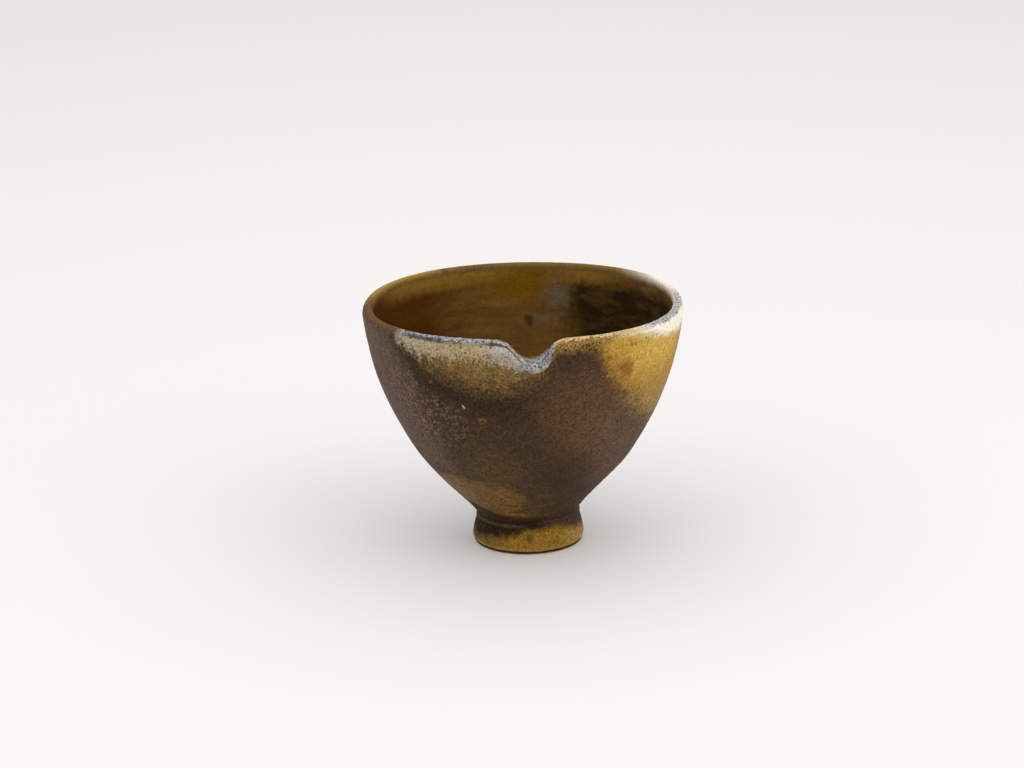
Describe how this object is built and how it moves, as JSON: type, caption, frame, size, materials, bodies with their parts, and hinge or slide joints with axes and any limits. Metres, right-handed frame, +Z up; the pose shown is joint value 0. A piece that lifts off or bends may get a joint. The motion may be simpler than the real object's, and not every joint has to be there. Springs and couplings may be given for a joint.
{
  "type": "tea pitcher",
  "caption": "Deep rounded stoneware bowl with a bevelled pouring notch in its rim, standing on a flared, hollow foot ring; for cooling and pouring tea.",
  "frame": {"origin": "middle of the foot ring's base, on the surface that the pitcher stands on", "axes": "+Z up through the middle of the bowl, -Y towards the pouring notch, +X to the right of someone who looks at the notch"},
  "size_m": [0.0959, 0.0955, 0.0756],
  "materials": {
    "ash_glaze": "satin wood-ash glaze, brown to olive gold, with a pale crust along the rim",
    "flashed_clay": "dry flashed stoneware, dark brown above and golden below"
  },
  "bodies": {
    "root": {"bowl": "ash_glaze", "foot_ring": "flashed_clay"}
  },
  "joints": []
}
